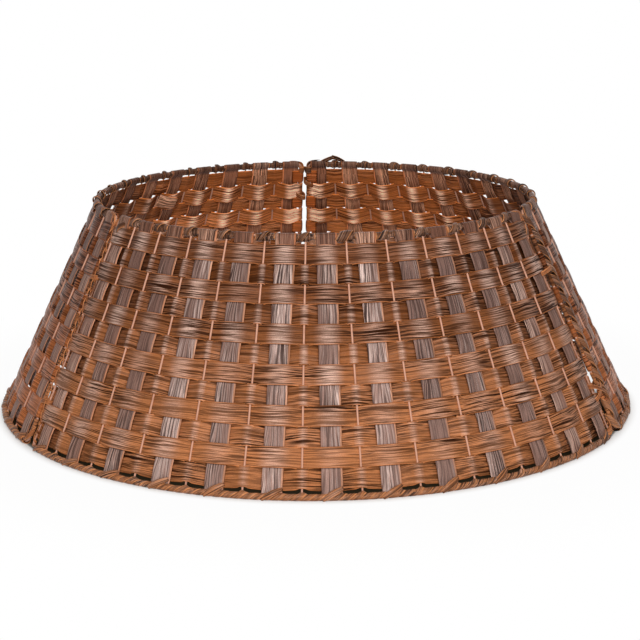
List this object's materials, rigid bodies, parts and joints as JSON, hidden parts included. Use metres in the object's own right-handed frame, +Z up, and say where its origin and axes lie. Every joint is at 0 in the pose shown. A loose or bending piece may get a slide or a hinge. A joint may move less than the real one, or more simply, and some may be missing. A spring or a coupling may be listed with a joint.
{
  "type": "christmas tree collar",
  "caption": "Tapered ring of hinged woven strip panels that stands on the floor round a tree and hides its stand.",
  "frame": {"origin": "on the floor at the middle of the ring", "axes": "+Z up; -Y the front, the middle of the front panel; +X to the right seen from the front; the opening seam faces +Y"},
  "size_m": [0.7612, 0.7605, 0.2497],
  "materials": {
    "stakes": "wood-grain strip and painted wire",
    "weft_dark": "satin wood-grain strip",
    "weft_warm": "satin wood-grain strip",
    "lashing": "satin wood-grain strip",
    "tie": "satin strip"
  },
  "bodies": {
    "front_panel": {"front_stake_frame": "stakes", "front_weft_01": "weft_dark", "front_weft_02": "weft_warm", "front_weft_03": "weft_dark", "front_weft_04": "weft_warm", "front_weft_05": "weft_dark", "front_weft_06": "weft_warm", "front_weft_07": "weft_dark", "front_weft_08": "weft_warm", "front_weft_09": "weft_dark", "front_weft_10": "weft_warm", "front_weft_11": "weft_dark", "front_weft_12": "weft_warm", "front_bottom_lashing": "lashing", "front_top_lashing": "lashing", "left_seam_tie_upper": "tie", "left_seam_tie_lower": "tie", "right_seam_tie_upper": "tie", "right_seam_tie_lower": "tie"},
    "left_panel": {"left_stake_frame": "stakes", "left_weft_01": "weft_dark", "left_weft_02": "weft_warm", "left_weft_03": "weft_dark", "left_weft_04": "weft_warm", "left_weft_05": "weft_dark", "left_weft_06": "weft_warm", "left_weft_07": "weft_dark", "left_weft_08": "weft_warm", "left_weft_09": "weft_dark", "left_weft_10": "weft_warm", "left_weft_11": "weft_dark", "left_weft_12": "weft_warm", "left_bottom_lashing": "lashing", "left_top_lashing": "lashing", "left_closure_loop_upper": "tie", "left_closure_loop_lower": "tie"},
    "right_panel": {"right_stake_frame": "stakes", "right_weft_01": "weft_dark", "right_weft_02": "weft_warm", "right_weft_03": "weft_dark", "right_weft_04": "weft_warm", "right_weft_05": "weft_dark", "right_weft_06": "weft_warm", "right_weft_07": "weft_dark", "right_weft_08": "weft_warm", "right_weft_09": "weft_dark", "right_weft_10": "weft_warm", "right_weft_11": "weft_dark", "right_weft_12": "weft_warm", "right_bottom_lashing": "lashing", "right_top_lashing": "lashing", "right_closure_loop_upper": "tie", "right_closure_loop_lower": "tie"}
  },
  "joints": [
    {"name": "left_seam_hinge", "type": "hinge", "parent": "front_panel", "child": "left_panel", "pos_m": [-0.32893, -0.18464, 0.00388], "axis": [0.3821, 0.2145, 0.8989], "range_deg": [0, 110]},
    {"name": "right_seam_hinge", "type": "hinge", "parent": "front_panel", "child": "right_panel", "pos_m": [0.3323, -0.17851, 0.00388], "axis": [0.386, -0.2074, -0.8989], "range_deg": [0, 110]}
  ]
}
